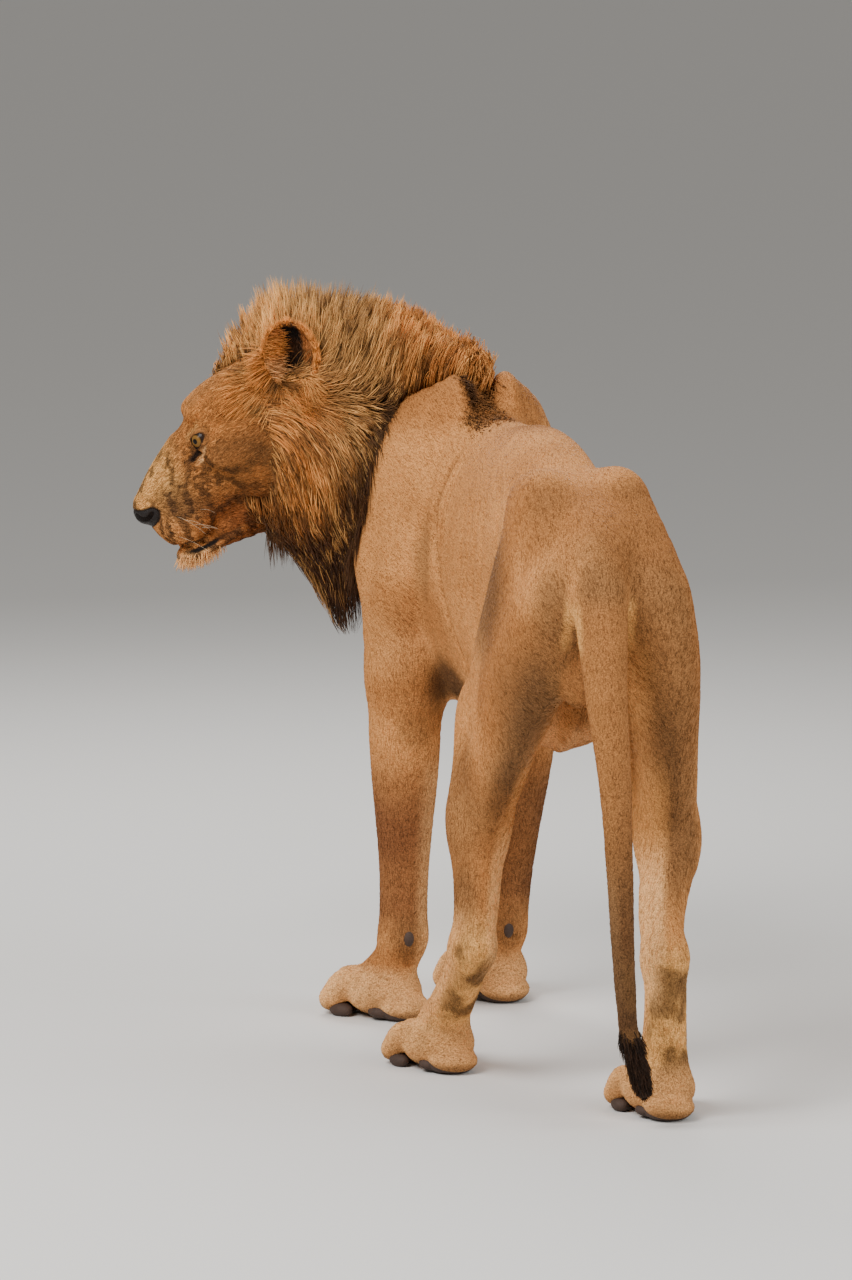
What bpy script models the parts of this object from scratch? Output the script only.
"""Life-size still model of a standing young male lion that looks to its left.

Frame: x to the lion's left, -y the way it faces, z up; metres; the floor is z = 0.

The outer form, out to the tips of the coat and mane, is merged from tapered tubes and ellipsoids in
a distance field. The field is meshed, thinned to few faces, and parted with thin flat cuts where a
person would name another part: ear, head, neck, trunk, leg, paw, tail.
"""
import math

import bmesh
import bpy
import numpy as np
from mathutils import Matrix, Vector

# ---------------------------------------------------------------- driving dimensions
GAP = 0.0004                # clear width of a cut between neighbours
BODY_STEP = 0.008           # sampling step of the whole form
HEAD_STEP = 0.004           # sampling step of the head
BODY_FACES = 3950           # triangles kept for the whole form before it is parted
HEAD_FACES = 2350           # triangles kept for the head before it is parted
CREASE = math.radians(35)   # edges sharper than this stay crisp

BODY_BOX = ((-0.24, -1.20, -0.024), (0.56, 0.17, 1.18))
HEAD_BOX = ((0.14, -1.32, 0.632), (0.57, -0.86, 1.18))

# Stations along a form: x, y, z, half width across it, half depth.
TRUNK = (
    (0.020, 0.000, 0.815, 0.055, 0.060),
    (0.016, -0.050, 0.815, 0.085, 0.095),
    (0.012, -0.150, 0.803, 0.098, 0.132),
    (0.008, -0.300, 0.790, 0.095, 0.182),
    (0.004, -0.400, 0.775, 0.104, 0.210),
    (0.002, -0.520, 0.750, 0.113, 0.222),
    (0.000, -0.680, 0.730, 0.116, 0.235),
    (0.000, -0.820, 0.720, 0.122, 0.230),
    (0.008, -0.950, 0.720, 0.115, 0.205),
    (0.020, -1.030, 0.745, 0.090, 0.150),
)
BELLY = ((-0.020, -0.430, 0.605), (0.105, 0.240, 0.118))      # middle, half sizes
SHEATH = (
    (-0.004, -0.230, 0.560, 0.018, 0.022),
    (-0.005, -0.310, 0.520, 0.015, 0.018),
    (-0.006, -0.338, 0.502, 0.009, 0.010),
)
NECK = (
    (0.010, -0.800, 0.850, 0.080, 0.100),
    (0.050, -0.930, 0.865, 0.085, 0.120),
    (0.120, -1.020, 0.895, 0.080, 0.115),
    (0.190, -1.065, 0.915, 0.075, 0.100),
)
MANE = (
    (0.300, -1.088, 0.890, 0.085, 0.120),
    (0.235, -1.075, 0.895, 0.115, 0.160),
    (0.150, -1.030, 0.885, 0.115, 0.182),
    (0.070, -0.945, 0.900, 0.085, 0.140),
    (0.030, -0.860, 0.930, 0.050, 0.090),
)
CREST = (
    (0.348, -1.092, 1.084, 0.022, 0.032),
    (0.305, -1.083, 1.088, 0.036, 0.048),
    (0.240, -1.065, 1.092, 0.045, 0.050),
    (0.155, -1.000, 1.078, 0.045, 0.048),
    (0.085, -0.930, 1.055, 0.040, 0.042),
    (0.018, -0.850, 1.015, 0.030, 0.030),
)
BIB = (
    (0.192, -1.080, 0.770, 0.066, 0.070),
    (0.172, -1.085, 0.700, 0.046, 0.050),
    (0.150, -1.085, 0.595, 0.015, 0.018),
)
TAIL = (
    (0.022, -0.050, 0.835, 0.044, 0.050),
    (0.032, 0.035, 0.825, 0.044, 0.042),
    (0.036, 0.082, 0.755, 0.040, 0.036),
    (0.035, 0.112, 0.640, 0.031, 0.033),
    (0.025, 0.124, 0.520, 0.025, 0.028),
    (0.019, 0.127, 0.400, 0.021, 0.023),
    (0.010, 0.120, 0.250, 0.018, 0.018),
    (-0.001, 0.108, 0.140, 0.015, 0.015),
)
TUFT = (
    (-0.003, 0.106, 0.145, 0.014, 0.014),
    (-0.015, 0.098, 0.100, 0.021, 0.019),
    (-0.028, 0.089, 0.062, 0.014, 0.012),
    (-0.034, 0.084, 0.044, 0.004, 0.004),
)
TAIL_FREE_FROM = 3          # from this station down the tail hangs clear of the rump

# Joints of each leg, where its paw stands, which way its toes point (degrees to the left), x of the
# cut on its inner side at INNER_TOP and at the floor, and y of the cut in front of a thigh at its top.
INNER_TOP = 0.95
FORELEGS = {
    "left": {"side": 1, "shoulder": (0.113, -0.960, 0.725), "elbow": (0.123, -0.800, 0.550),
             "wrist": (0.121, -0.835, 0.135), "paw": (0.134, -0.865, 0.0), "toes": 30,
             "inner": (0.085, 0.045)},
    "right": {"side": -1, "shoulder": (-0.112, -0.990, 0.725), "elbow": (-0.091, -0.880, 0.545),
              "wrist": (-0.068, -0.955, 0.120), "paw": (-0.064, -0.985, 0.0), "toes": 12,
              "inner": (-0.085, 0.036)},
}
HIND_LEGS = {
    "left": {"side": 1, "hip": (0.072, -0.100, 0.800), "knee": (0.088, -0.380, 0.550),
             "hock": (0.141, -0.262, 0.215), "paw": (0.150, -0.430, 0.0), "toes": 16, "calf": 0.008,
             "inner": (0.085, -0.045), "front": -0.33},
    "right": {"side": -1, "hip": (-0.054, -0.070, 0.800), "knee": (-0.115, -0.235, 0.520),
              "hock": (-0.076, 0.045, 0.245), "paw": (-0.083, -0.010, 0.0), "toes": 5, "calf": 0.017,
              "inner": (-0.065, 0.065), "front": -0.20},
}
FOREPAW_SIZE = 1.15         # against a paw 0.10 wide
HINDPAW_SIZE = 1.06
ANKLE_HEIGHT = 0.075

HEAD_AT = (0.388, -1.100, 0.903)    # the point between the eyes
HEAD_TURN = 83                      # degrees to the left of straight ahead
HEAD_DROP = 20                      # degrees the face points down
EYE_AT = (0.001, 0.050, -0.003)     # forward, left, up from the point between the eyes
EYE_RADIUS = 0.0185
LID = 0.003                         # thickness of the lids over the eyeball

COLOURS = {
    "coat": (0.42, 0.26, 0.13), "mane": (0.30, 0.13, 0.045), "face": (0.45, 0.27, 0.12),
    "ear": (0.40, 0.20, 0.08), "nose": (0.012, 0.010, 0.010), "eye": (0.55, 0.30, 0.05),
    "paw": (0.55, 0.40, 0.26), "tuft": (0.03, 0.02, 0.015),
}


# ---------------------------------------------------------------- distance field
def unit(vector):
    vector = np.asarray(vector, float)
    return vector / np.linalg.norm(vector)


def between(start, end, share):
    """The point a share of the way from start to end."""
    return np.asarray(start, float) * (1 - share) + np.asarray(end, float) * share


def spline(stations, steps):
    """A smooth curve through rows of numbers, with `steps` pieces between two rows."""
    rows = np.asarray(stations, float)
    padded = np.vstack([2 * rows[0] - rows[1], rows, 2 * rows[-1] - rows[-2]])
    curve = []
    for index in range(len(rows) - 1):
        before, start, end, after = padded[index:index + 4]
        for t in np.linspace(0, 1, steps, endpoint=False):
            linear = end - before
            square = 2 * before - 5 * start + 4 * end - after
            cube = 3 * start - before - 3 * end + after
            curve.append(0.5 * (2 * start + linear * t + square * t ** 2 + cube * t ** 3))
    curve.append(rows[-1])
    return np.array(curve)


def oval_distance(flat, sharp, smallest):
    """Distance to an oval from the lengths of a point scaled once and twice by its half sizes."""
    return np.where(flat > 1e-4, flat * (flat - 1) / (sharp + 1e-9), -smallest)


class Tube:
    """A tube of oval section along stations; half widths are measured along `across`."""

    def __init__(self, stations, across=(1, 0, 0), steps=4):
        self.rows = spline(stations, steps)
        self.across = unit(across)
        reach = self.rows[:, 3:].max(1, keepdims=True)
        self.low = (self.rows[:, :3] - reach).min(0)
        self.high = (self.rows[:, :3] + reach).max(0)

    def distance(self, points):
        nearest = np.full(len(points), 9.0)
        for start, end in zip(self.rows[:-1], self.rows[1:]):
            along = end[:3] - start[:3]
            offset = points - start[:3]
            share = np.clip(offset @ along / (along @ along), 0, 1)
            offset = offset - share[:, None] * along
            wide = offset @ self.across
            deep = np.maximum((offset * offset).sum(1) - wide ** 2, 0)
            half_wide = start[3] + share * (end[3] - start[3])
            half_deep = start[4] + share * (end[4] - start[4])
            flat = np.sqrt((wide / half_wide) ** 2 + deep / half_deep ** 2)
            sharp = np.sqrt((wide / half_wide ** 2) ** 2 + deep / half_deep ** 4)
            smallest = np.minimum(half_wide, half_deep)
            nearest = np.minimum(nearest, oval_distance(flat, sharp, smallest))
        return nearest


class Mass:
    """An ellipsoid with half sizes along three axes, the rows of `axes`."""

    def __init__(self, centre, half, axes=None):
        self.centre = np.asarray(centre, float)
        self.half = np.asarray(half, float)
        self.axes = np.eye(3) if axes is None else np.asarray(axes, float)
        self.low = self.centre - self.half.max()
        self.high = self.centre + self.half.max()

    def distance(self, points):
        offset = (points - self.centre) @ self.axes.T
        flat = np.sqrt(((offset / self.half) ** 2).sum(1))
        sharp = np.sqrt(((offset / self.half ** 2) ** 2).sum(1))
        return oval_distance(flat, sharp, self.half.min())


def smooth_least(first, second, blend):
    """The lesser of two distances, rounded over where they are within `blend` of each other."""
    share = np.clip(0.5 + 0.5 * (second - first) / blend, 0, 1)
    return second * (1 - share) + first * share - blend * share * (1 - share)


class Field:
    """Distances sampled on a grid; shapes are added or carved one after another."""

    def __init__(self, box, step):
        self.low = np.array(box[0])
        self.step = step
        self.size = np.ceil((np.array(box[1]) - self.low) / step).astype(int) + 1
        self.values = np.full(self.size, 1.0)

    def merge(self, shape, blend, carve=False):
        margin = 2 * blend + 2 * self.step
        first = np.floor((shape.low - margin - self.low) / self.step).astype(int)
        last = np.ceil((shape.high + margin - self.low) / self.step).astype(int) + 1
        first = np.clip(first, 0, self.size)
        last = np.clip(last, 0, self.size)
        if (last <= first).any():
            return
        block = tuple(slice(a, b) for a, b in zip(first, last))
        ticks = [self.low[axis] + self.step * np.arange(first[axis], last[axis]) for axis in range(3)]
        points = np.stack(np.meshgrid(*ticks, indexing="ij"), -1).reshape(-1, 3)
        old = self.values[block]
        new = shape.distance(points).reshape(old.shape)
        if carve:
            self.values[block] = -smooth_least(-old, new, blend)
        else:
            self.values[block] = smooth_least(new, old, blend)

    def close_sides(self):
        """Make the faces of the grid's box outside, so that the surface is closed."""
        for axis in range(3):
            side = [slice(None)] * 3
            for end in (0, -1):
                side[axis] = end
                self.values[tuple(side)] = np.maximum(self.values[tuple(side)], self.step)

    def fill_pinches(self, rounds=3):
        """Fill squares of the grid that are inside only at two opposite corners."""
        for _ in range(rounds):
            for one, two in ((0, 1), (1, 2), (0, 2)):
                square = []
                for a, b in ((0, 0), (1, 0), (1, 1), (0, 1)):
                    part = [slice(None)] * 3
                    part[one] = slice(a, self.size[one] - 1 + a)
                    part[two] = slice(b, self.size[two] - 1 + b)
                    square.append(tuple(part))
                inside = [self.values[part] < 0 for part in square]
                pinched = (inside[0] == inside[2]) & (inside[1] == inside[3]) & (inside[0] != inside[1])
                for part in square:
                    filled = np.minimum(self.values[part], -0.1 * self.step)
                    self.values[part] = np.where(pinched, filled, self.values[part])

    def surface(self):
        """Vertices and outward quads of the zero level, one vertex in each cell it crosses."""
        values = self.values
        inside = values < 0
        corners = [(i, j, k) for i in (0, 1) for j in (0, 1) for k in (0, 1)]
        nx, ny, nz = np.array(values.shape) - 1
        count = sum(inside[i:nx + i, j:ny + j, k:nz + k].astype(int) for i, j, k in corners)
        cells = np.argwhere((count > 0) & (count < 8))
        index = np.full((nx, ny, nz), -1)
        index[tuple(cells.T)] = np.arange(len(cells))
        total = np.zeros((len(cells), 3))
        hits = np.zeros(len(cells))
        for corner in corners:
            for axis in range(3):
                if corner[axis]:
                    continue
                other = np.array(corner)
                other[axis] = 1
                here = values[tuple((cells + corner).T)]
                there = values[tuple((cells + other).T)]
                crossed = (here < 0) != (there < 0)
                place = np.zeros((len(cells), 3)) + corner
                place[crossed, axis] = here[crossed] / (here[crossed] - there[crossed])
                total[crossed] += place[crossed]
                hits += crossed
        verts = self.low + self.step * (cells + total / hits[:, None])
        quads = []
        for axis in range(3):
            near = [slice(None)] * 3
            far = [slice(None)] * 3
            near[axis] = slice(0, -1)
            far[axis] = slice(1, None)
            step_one = np.eye(3, dtype=int)[(axis + 1) % 3]
            step_two = np.eye(3, dtype=int)[(axis + 2) % 3]
            ring = (0 * step_one, step_one, step_one + step_two, step_two)
            leaving = inside[tuple(near)] & ~inside[tuple(far)]
            entering = ~inside[tuple(near)] & inside[tuple(far)]
            for edges, turn in ((leaving, 1), (entering, -1)):
                starts = np.argwhere(edges)
                loop = [index[tuple((starts - back).T)] for back in ring]
                quads.append(np.stack(loop, 1)[:, ::turn])
        return verts, np.vstack(quads)


# ---------------------------------------------------------------- forms of the body
def heading(degrees):
    """Level direction turned to the lion's left from straight ahead."""
    angle = math.radians(degrees)
    return np.array([math.sin(angle), -math.cos(angle), 0.0])


def paw_forms(ankle, ground, toes, size):
    """A paw that stands on the ground: pastern, foot, heel pad and four toes."""
    forward = heading(toes)
    left = np.cross((0, 0, 1), forward)
    axes = np.array([forward, left, (0, 0, 1)])
    ground = np.asarray(ground, float)

    def place(ahead, aside, up):
        return ground + size * (forward * ahead + left * aside + np.array([0, 0, up]))

    pastern = between(ankle, place(0, 0, 0.05), 0.5)
    forms = [
        (Tube([(*ankle, 0.032, 0.036), (*pastern, 0.035, 0.038),
               (*place(0.02, 0, 0.042), 0.046 * size, 0.036 * size)], left, 3), 0.02),
        (Mass(place(0.015, 0, 0.036), np.array([0.058, 0.050, 0.034]) * size, axes), 0.02),
        (Mass(place(-0.030, 0, 0.018), np.array([0.032, 0.036, 0.020]) * size, axes), 0.012),
    ]
    for aside, reach, splay in ((-0.041, 0.050, -0.30), (-0.0145, 0.068, -0.08),
                                (0.0145, 0.068, 0.08), (0.041, 0.050, 0.30)):
        tip = place(reach + 0.022, aside * (1.08 + abs(splay) * 0.1), 0.022)
        toe = [(*place(0.028, aside * 0.85, 0.048), 0.018 * size, 0.020 * size),
               (*place(reach, aside, 0.043), 0.0195 * size, 0.022 * size),
               (*tip, 0.0165 * size, 0.018 * size)]
        forms.append((Tube(toe, left, 3), 0.006))
    return forms


def foreleg_forms(leg):
    side = leg["side"]
    shoulder, elbow, wrist = (np.array(leg[name]) for name in ("shoulder", "elbow", "wrist"))
    blade_top = np.array([side * 0.044 + 0.004, shoulder[1] + 0.165, 0.962])
    blade_middle = between(blade_top, shoulder, 0.5) + (side * 0.022, 0, 0.02)
    triceps_top = between(blade_top, shoulder, 0.35) + (side * 0.008, 0.04, -0.06)
    triceps_middle = between(shoulder, elbow, 0.55) + (side * 0.010, 0.050, 0.03)
    forms = [
        (Tube([(*blade_top, 0.030, 0.062), (*blade_middle, 0.044, 0.100),
               (*(shoulder + (side * 0.004, 0.02, 0)), 0.052, 0.090)]), 0.035),
        (Tube([(*triceps_top, 0.040, 0.075), (*triceps_middle, 0.050, 0.080),
               (*elbow, 0.050, 0.062)]), 0.03),
        (Tube([(*shoulder, 0.054, 0.080), (*(between(shoulder, elbow, 0.5) + (0, -0.01, 0)), 0.058, 0.070),
               (*elbow, 0.058, 0.058)], steps=3), 0.03),
        (Tube([(*elbow, 0.063, 0.068), (*(between(elbow, wrist, 0.2) + (0, -0.008, 0)), 0.060, 0.070),
               (*(between(elbow, wrist, 0.38) + (0, -0.004, 0)), 0.056, 0.060),
               (*between(elbow, wrist, 0.75), 0.042, 0.045), (*wrist, 0.039, 0.040)]), 0.03),
        (Mass(elbow + (0, 0.040, 0.015), (0.030, 0.030, 0.040)), 0.03),
    ]
    return forms + paw_forms(wrist, leg["paw"], leg["toes"], FOREPAW_SIZE)


def hind_leg_forms(leg):
    side = leg["side"]
    hip, knee, hock, paw = (np.array(leg[name]) for name in ("hip", "knee", "hock", "paw"))
    rump = np.array([side * 0.058 + 0.010, -0.13, 0.875])
    seat = np.array([side * 0.060 + 0.012, 0.0, 0.770])
    calf = between(knee, hock, 0.45) + (side * leg["calf"], 0, 0)
    above_hock = between(knee, hock, 0.8)
    ankle = paw + (0, 0, ANKLE_HEIGHT)
    forms = [
        (Tube([(*rump, 0.045, 0.070), (*(between(hip, knee, 0.25) + (side * 0.012, 0.03, 0)), 0.055, 0.125),
               (*(between(hip, knee, 0.65) + (side * 0.005, 0.025, 0)), 0.058, 0.108),
               (*(knee + (0, 0.02, -0.02)), 0.050, 0.080)]), 0.05),
        (Tube([(*seat, 0.056, 0.058), (*(between(seat, calf, 0.5) + (side * 0.006, 0.03, 0.03)), 0.050, 0.075),
               (*calf, 0.045, 0.062)]), 0.05),
        (Tube([(*knee, 0.052, 0.062), (*calf, 0.046, 0.058), (*(above_hock + (0, -0.012, 0)), 0.038, 0.043),
               (*(hock + (0, -0.022, 0)), 0.034, 0.036)]), 0.035),
        (Tube([(*(calf + (0, 0.035, 0.02)), 0.030, 0.030), (*(above_hock + (0, 0.018, 0.02)), 0.020, 0.022),
               (*(hock + (0, 0.005, 0.012)), 0.026, 0.024)]), 0.02),
        (Tube([(*(hock + (0, -0.018, -0.005)), 0.035, 0.036), (*between(hock, ankle, 0.5), 0.033, 0.034),
               (*ankle, 0.036, 0.036)], steps=3), 0.025),
    ]
    return forms + paw_forms(ankle, paw, leg["toes"], HINDPAW_SIZE)


def trunk_forms():
    forms = [(Tube(TRUNK), 0.02), (Tube(NECK), 0.08), (Mass(*BELLY), 0.04), (Tube(SHEATH), 0.02)]
    for side in (1, -1):
        forms.append((Mass((0.018 + side * 0.058, -0.155, 0.895), (0.034, 0.065, 0.042)), 0.03))
    return forms


def tail_forms():
    return [(Tube(TAIL[:TAIL_FREE_FROM + 1]), 0.03), (Tube(TAIL[TAIL_FREE_FROM:]), 0.004),
            (Tube(TUFT), 0.01)]


def scrotum_forms():
    return [(Mass((0.046, -0.010, 0.652), (0.024, 0.028, 0.046)), 0.007)]


def mane_forms():
    across = (0.66, 0.75, 0)
    return [(Tube(MANE, across), 0.035), (Tube(CREST, across), 0.035), (Tube(BIB, across), 0.03)]


# ---------------------------------------------------------------- forms of the head
def head_axes():
    """Rows: forward along the face, to its left, up."""
    level = heading(HEAD_TURN)
    drop = math.radians(HEAD_DROP)
    forward = level * math.cos(drop) - np.array([0, 0, math.sin(drop)])
    left = np.cross((0, 0, 1), level)
    return np.array([forward, left, np.cross(forward, left)])


HEAD_AXES = head_axes()


def on_head(ahead, aside, up):
    return np.array(HEAD_AT) + np.array([ahead, aside, up]) @ HEAD_AXES


def head_tube(stations):
    return Tube([(*on_head(*row[:3]), row[3], row[4]) for row in stations], HEAD_AXES[1])


def head_mass(centre, half, axes=HEAD_AXES):
    return Mass(on_head(*centre), half, axes)


def head_forms():
    skull = (-0.125, 0, 0.008)
    forehead = (-0.052, 0, 0.028)
    bridge = [(-0.030, 0, 0.022, 0.040, 0.030), (0.008, 0, 0.006, 0.031, 0.024),
              (0.054, 0, -0.026, 0.027, 0.022), (0.100, 0, -0.066, 0.026, 0.019),
              (0.118, 0, -0.083, 0.027, 0.017)]
    upper_jaw = [(-0.070, 0, -0.055, 0.070, 0.075), (0.000, 0, -0.075, 0.057, 0.072),
                 (0.050, 0, -0.092, 0.044, 0.056), (0.082, 0, -0.106, 0.034, 0.042)]
    lower_jaw = [(-0.150, 0, -0.110, 0.060, 0.060), (-0.060, 0, -0.138, 0.050, 0.044),
                 (0.020, 0, -0.158, 0.036, 0.025), (0.060, 0, -0.164, 0.029, 0.018)]
    forms = [
        (head_mass(skull, (0.095, 0.078, 0.080)), 0.02),
        (head_mass(forehead, (0.066, 0.062, 0.048)), 0.03),
        (head_tube(bridge), 0.012),
        (head_tube(upper_jaw), 0.022),
        (head_mass((0.096, 0, -0.120), (0.018, 0.022, 0.034)), 0.010),
    ]
    for side in (1, -1):
        forms += [
            (head_mass((-0.006, side * 0.037, 0.038), (0.027, 0.024, 0.016)), 0.018),
            (head_mass((-0.020, side * 0.054, 0.000), (0.028, 0.024, 0.028)), 0.018),
            (head_mass((0.067, side * 0.031, -0.124), (0.042, 0.027, 0.032)), 0.010),
            (head_mass((-0.088, side * 0.066, -0.062), (0.068, 0.036, 0.066)), 0.03),
            (head_mass((-0.038, side * 0.064, -0.032), (0.046, 0.018, 0.020)), 0.025),
        ]
    forms += [
        (head_tube(lower_jaw), 0.02),
        (head_mass((0.074, 0, -0.168), (0.022, 0.026, 0.016)), 0.008),
        (head_mass((0.124, 0, -0.086), (0.019, 0.030, 0.021)), 0.005),
    ]
    return forms


def eye_axes(side):
    """Rows in the head's axes: out of the eye, along the slit to its outer corner, across it."""
    out = unit((0.74, 0.64 * side, 0.06))
    slit = np.array([-0.67, 0.49 * side, 0.42])
    slit = unit(slit - slit @ out * out)
    return np.array([out, slit, np.cross(out, slit)])


def eye_centre(side):
    return np.array([EYE_AT[0], side * EYE_AT[1], EYE_AT[2]])


def eye_forms(side):
    """The hollow round an eye, its lids and the opening between them."""
    axes = eye_axes(side)
    centre = eye_centre(side)
    turned = axes @ HEAD_AXES
    return [
        (head_mass(centre + axes[0] * 0.016, (0.013, 0.026, 0.014), turned), 0.012, True),
        (head_mass(centre, (EYE_RADIUS + LID,) * 3), 0.006, False),
        (head_mass(centre + axes[0] * 0.017, (0.014, 0.0185, 0.0095), turned), 0.001, True),
    ]


def ear_frame(side):
    """The middle of an ear and its axes in the head's axes: across, out of the cup, up."""
    up = unit((-0.22, 0.22 * side, 0.95))
    out = np.array([0.40, 0.90 * side, -0.10])
    out = unit(out - out @ up * up)
    return np.array([-0.172, 0.096 * side, 0.076]), np.array([np.cross(up, out), out, up])


def ear_forms(side):
    centre, axes = ear_frame(side)
    turned = axes @ HEAD_AXES
    return [
        (head_mass(centre, (0.050, 0.026, 0.060), turned), 0.010, False),
        (head_mass(centre + axes[1] * 0.016 + axes[2] * 0.004, (0.040, 0.026, 0.049), turned), 0.004, True),
    ]


def mouth_forms():
    """The line of the mouth, from one corner round the front to the other."""
    half = [(-0.020, 0.052, -0.156), (0.030, 0.047, -0.158), (0.072, 0.033, -0.158)]
    line = half + [(0.100, 0.0, -0.153)] + [(ahead, -aside, up) for ahead, aside, up in half[::-1]]
    return [(head_tube([(*point, 0.003, 0.0035) for point in line]), 0.005, True)]


def whole_form(box, step):
    """The field of the whole lion in a box."""
    field = Field(box, step)
    forms = trunk_forms() + scrotum_forms()
    for leg in FORELEGS.values():
        forms += foreleg_forms(leg)
    for leg in HIND_LEGS.values():
        forms += hind_leg_forms(leg)
    forms += tail_forms() + head_forms() + mane_forms()
    for shape, blend in forms:
        field.merge(shape, blend)
    details = mouth_forms()
    for side in (1, -1):
        details += eye_forms(side) + ear_forms(side)
    for shape, blend, carve in details:
        field.merge(shape, blend, carve)
    field.close_sides()
    field.fill_pinches()
    return field


# ---------------------------------------------------------------- mesh tools
def material(name):
    result = bpy.data.materials.new(name)
    result.use_nodes = True
    shader = result.node_tree.nodes["Principled BSDF"]
    shader.inputs["Base Color"].default_value = (*COLOURS[name], 1.0)
    shader.inputs["Roughness"].default_value = 0.25 if name in ("eye", "nose") else 0.85
    return result


def new_object(name, mesh):
    obj = bpy.data.objects.new(name, mesh)
    bpy.context.scene.collection.objects.link(obj)
    return obj


def mesh_object(name, field):
    verts, quads = field.surface()
    mesh = bpy.data.meshes.new(name)
    mesh.from_pydata(verts.tolist(), [], quads.tolist())
    return new_object(name, mesh)


def apply_modifiers(obj):
    """Replace the mesh by its evaluated one and drop the modifiers."""
    evaluated = obj.evaluated_get(bpy.context.evaluated_depsgraph_get())
    mesh = bpy.data.meshes.new_from_object(evaluated)
    obj.modifiers.clear()
    obj.data = mesh


def thin(obj, triangles):
    """Collapse edges until about this many triangles are left."""
    now = 2 * len(obj.data.polygons)
    modifier = obj.modifiers.new("thin", "DECIMATE")
    modifier.ratio = triangles / now
    apply_modifiers(obj)


def boolean(obj, cutter, operation):
    modifier = obj.modifiers.new("cut", "BOOLEAN")
    modifier.solver = "EXACT"
    modifier.operation = operation
    modifier.object = cutter
    apply_modifiers(obj)


def wedge(planes, grow=0.0):
    """A convex block on the positive side of planes (point, normal), grown outwards by a distance."""
    shape = bmesh.new()
    bmesh.ops.create_cube(shape, size=4.0)
    for point, normal in planes:
        normal = Vector(normal).normalized()
        geometry = shape.verts[:] + shape.edges[:] + shape.faces[:]
        cut = bmesh.ops.bisect_plane(shape, geom=geometry, plane_co=Vector(point) - normal * grow,
                                     plane_no=normal, clear_inner=True)
        edges = [item for item in cut["geom_cut"] if isinstance(item, bmesh.types.BMEdge)]
        bmesh.ops.contextual_create(shape, geom=edges)
    bmesh.ops.recalc_face_normals(shape, faces=shape.faces[:])
    mesh = bpy.data.meshes.new("cutter")
    shape.to_mesh(mesh)
    shape.free()
    cutter = new_object("cutter", mesh)
    cutter.hide_render = True
    cutter.display_type = "WIRE"
    return cutter


def take(obj, name, planes):
    """Part off what lies in a wedge as a new object, and leave a gap to the rest."""
    taken = new_object(name, obj.data.copy())
    inner = wedge(planes)
    outer = wedge(planes, GAP)
    boolean(taken, inner, "INTERSECT")
    boolean(obj, outer, "DIFFERENCE")
    for cutter in (inner, outer):
        bpy.data.objects.remove(cutter)
    return taken


def shells(shape):
    """Lists of vertices that are joined by edges."""
    waiting = set(shape.verts)
    found = []
    while waiting:
        front = [waiting.pop()]
        shell = list(front)
        while front:
            vertex = front.pop()
            for edge in vertex.link_edges:
                other = edge.other_vert(vertex)
                if other in waiting:
                    waiting.remove(other)
                    front.append(other)
                    shell.append(other)
        found.append(shell)
    return found


def part_loose(obj, name, chosen):
    """Move the shells whose middle passes the test `chosen` to an object of their own."""
    meshes = []
    for wanted in (True, False):
        shape = bmesh.new()
        shape.from_mesh(obj.data)
        for shell in shells(shape):
            middle = sum((vertex.co for vertex in shell), Vector()) / len(shell)
            if chosen(middle) != wanted:
                bmesh.ops.delete(shape, geom=shell, context="VERTS")
        mesh = bpy.data.meshes.new(name)
        shape.to_mesh(mesh)
        shape.free()
        meshes.append(mesh)
    obj.data = meshes[1]
    return new_object(name, meshes[0])


def finish(obj, kind):
    """Give an object its triangles, outward faces, shading and material."""
    shape = bmesh.new()
    shape.from_mesh(obj.data)
    bmesh.ops.triangulate(shape, faces=shape.faces[:])
    bmesh.ops.recalc_face_normals(shape, faces=shape.faces[:])
    shape.to_mesh(obj.data)
    shape.free()
    obj.data.shade_smooth()
    obj.data.set_sharp_from_angle(angle=CREASE)
    obj.data.materials.clear()
    obj.data.materials.append(bpy.data.materials.get(kind) or material(kind))
    obj.data.name = obj.name


# ---------------------------------------------------------------- where the lion is parted
FLOOR = [((0, 0, 0), (0, 0, 1))]
HEAD_SIDE = [((0.190, -1.0, 0.90), (0.95, -0.25, 0)), ((0, 0, 0.665), (0, 0, 1))]
NECK_SIDE = [((0, -0.848, 1.0), (0.25, -0.82, 0.50))]
TAIL_ROOT = [((0.034, 0.028, 0.860), (0, 0.20, 0.034)), ((0, 0.03, 0.850), (0, 0.5, -0.86)),
             ((0, 0, 0.660), (0, 0, 1)), ((-0.026, 0, 0), (1, 0, 0)), ((0.094, 0, 0), (-1, 0, 0))]
TAIL_CUTS = (0.36, 0.135)           # heights that part the hanging tail and its tuft
THIGH_TOP = 0.92


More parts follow.
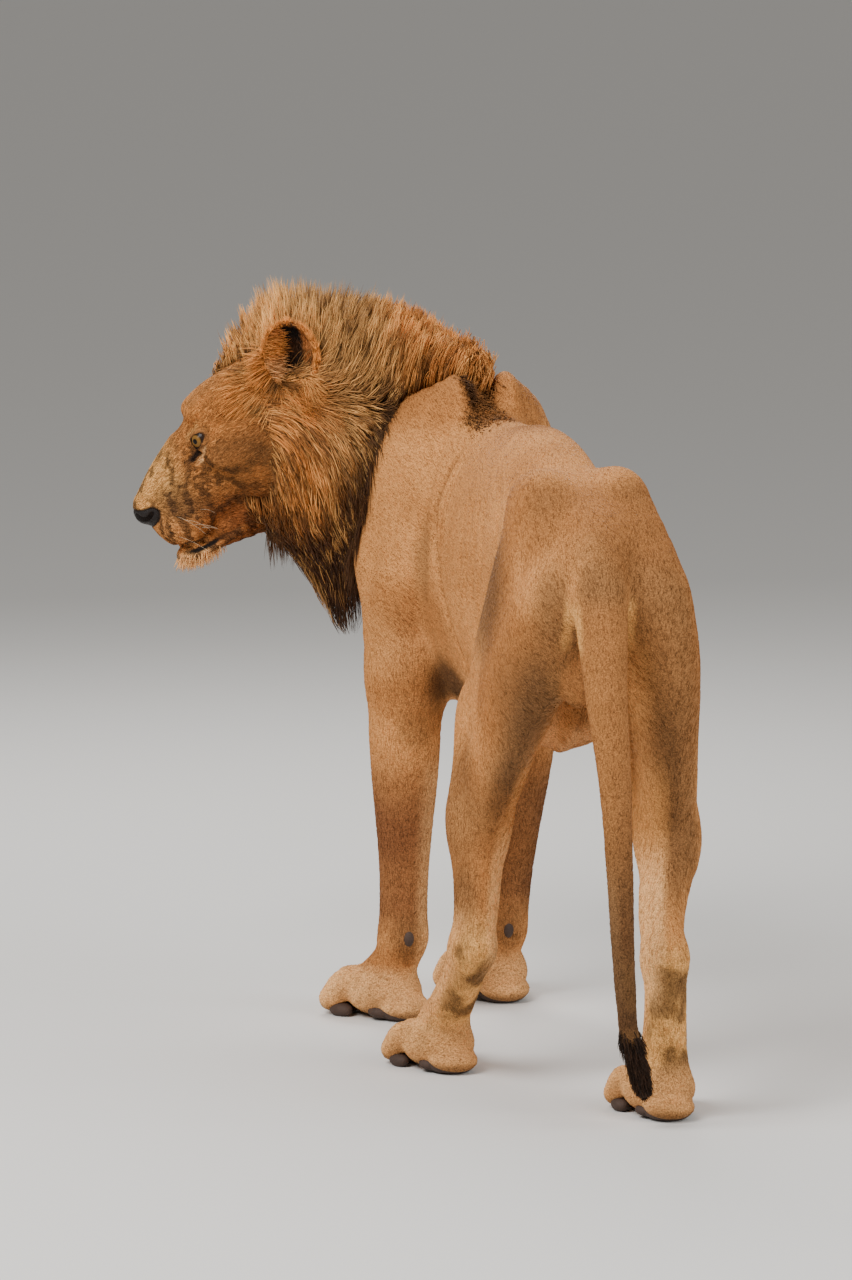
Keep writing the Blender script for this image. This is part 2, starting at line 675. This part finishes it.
def part_head():
    """The head on its finer mesh, with ears, nose and eyes of their own."""
    head = mesh_object("head", whole_form(HEAD_BOX, HEAD_STEP))
    thin(head, HEAD_FACES)
    remainder = take(head, "head_front", HEAD_SIDE)
    bpy.data.objects.remove(head)
    head = remainder
    head.name = "head"
    for side, word in ((1, "left"), (-1, "right")):
        centre, axes = ear_frame(side)
        root = on_head(*(centre - axes[2] * 0.034 - axes[1] * 0.006))
        behind = on_head(*(centre - axes[1] * 0.030))
        planes = [(root, axes[2] @ HEAD_AXES), (behind, axes[1] @ HEAD_AXES)]
        finish(take(head, "ear_" + word, planes), "ear")
        socket = eyeball("socket", side, EYE_RADIUS + GAP)
        boolean(head, socket, "DIFFERENCE")
        bpy.data.objects.remove(socket)
        finish(eyeball("eye_" + word, side, EYE_RADIUS), "eye")
    nose_planes = [(on_head(0.116, 0, -0.07), (np.array([0.88, 0, 0.47]) @ HEAD_AXES)),
                   (on_head(0.12, 0, -0.104), (np.array([0.2, 0, 1.0]) @ HEAD_AXES))]
    finish(take(head, "nose", nose_planes), "nose")
    finish(head, "face")


def eyeball(name, side, radius):
    shape = bmesh.new()
    bmesh.ops.create_icosphere(shape, subdivisions=2, radius=radius)
    bmesh.ops.translate(shape, verts=shape.verts[:], vec=Vector(on_head(*eye_centre(side))))
    mesh = bpy.data.meshes.new(name)
    shape.to_mesh(mesh)
    shape.free()
    return new_object(name, mesh)


def part_tail(body):
    """The root of the tail, two hanging lengths and the tuft."""
    finish(take(body, "tail_base", TAIL_ROOT), "coat")
    hanging = part_loose(body, "tail_middle", lambda middle: middle.y > 0.07 and middle.z < 0.60)
    end = take(hanging, "tail_end", [((0, 0, TAIL_CUTS[0]), (0, 0, -1))])
    tuft = take(end, "tail_tuft", [((0, 0, TAIL_CUTS[1]), (0, 0, -1))])
    finish(hanging, "coat")
    finish(end, "coat")
    finish(tuft, "tuft")


def inner_plane(leg):
    """The cut on the inner side of a leg."""
    top, floor = leg["inner"]
    return (top, 0, INNER_TOP), (leg["side"] * INNER_TOP, 0, leg["side"] * (floor - top))


def part_foreleg(body, word, leg):
    """Upper foreleg from the shoulder, forearm and forepaw."""
    elbow, wrist = np.array(leg["elbow"]), np.array(leg["wrist"])
    upper = take(body, "upper_foreleg_" + word,
                 [inner_plane(leg), ((0, -0.70, 0), (0, -1, 0)), ((0, 0, 0.90), (0, 0, -1))])
    forearm = take(upper, "forearm_" + word, [(elbow + (0, 0, -0.01), wrist - elbow)])
    paw = take(forearm, "forepaw_" + word, [(wrist + (0, 0, 0.01), (0, 0, -1))])
    finish(upper, "coat")
    finish(forearm, "coat")
    finish(paw, "paw")


def part_hind_leg(body, word, leg):
    """Thigh, shank, metatarsus and hind paw."""
    knee, hock = np.array(leg["knee"]), np.array(leg["hock"])
    planes = [inner_plane(leg), ((0, leg["front"], THIGH_TOP), (0, 0.43, -0.23)),
              ((0, 0, THIGH_TOP), (0, 0, -1))]
    if word == "left":
        planes.append(((0, -0.15, 0.10), (0, -0.5, 0.25)))      # leaves out the other hind paw
    thigh = take(body, "thigh_" + word, planes)
    shank = take(thigh, "shank_" + word, [(between(knee, hock, 0.15), (0, 0.1, -1))])
    heel = take(shank, "metatarsus_" + word, [(hock + (0, 0, 0.035), (0, -0.3, -1))])
    paw = take(heel, "hindpaw_" + word, [((0, 0, ANKLE_HEIGHT), (0, 0, -1))])
    for piece in (thigh, shank, heel):
        finish(piece, "coat")
    finish(paw, "paw")


def part_body():
    body = mesh_object("form", whole_form(BODY_BOX, BODY_STEP))
    thin(body, BODY_FACES)
    trunk = take(body, "trunk", FLOOR)
    bpy.data.objects.remove(body)
    front = take(trunk, "front", HEAD_SIDE)
    bpy.data.objects.remove(front)
    finish(take(trunk, "neck", NECK_SIDE), "mane")
    part_tail(trunk)
    for word, leg in FORELEGS.items():
        part_foreleg(trunk, word, leg)
    for word, leg in HIND_LEGS.items():
        part_hind_leg(trunk, word, leg)
    finish(trunk, "coat")


def centre_on_floor():
    """Move everything so that the middle of its plan is over the origin."""
    parts = list(bpy.data.objects)
    corners = np.array([vertex.co for part in parts for vertex in part.data.vertices])
    middle = (corners.min(0) + corners.max(0)) / 2
    for part in parts:
        part.data.transform(Matrix.Translation((-middle[0], -middle[1], 0)))
    print("middle of the plan:", middle[:2])


def main():
    for obj in list(bpy.data.objects):
        bpy.data.objects.remove(obj)
    part_body()
    part_head()
    centre_on_floor()


main()
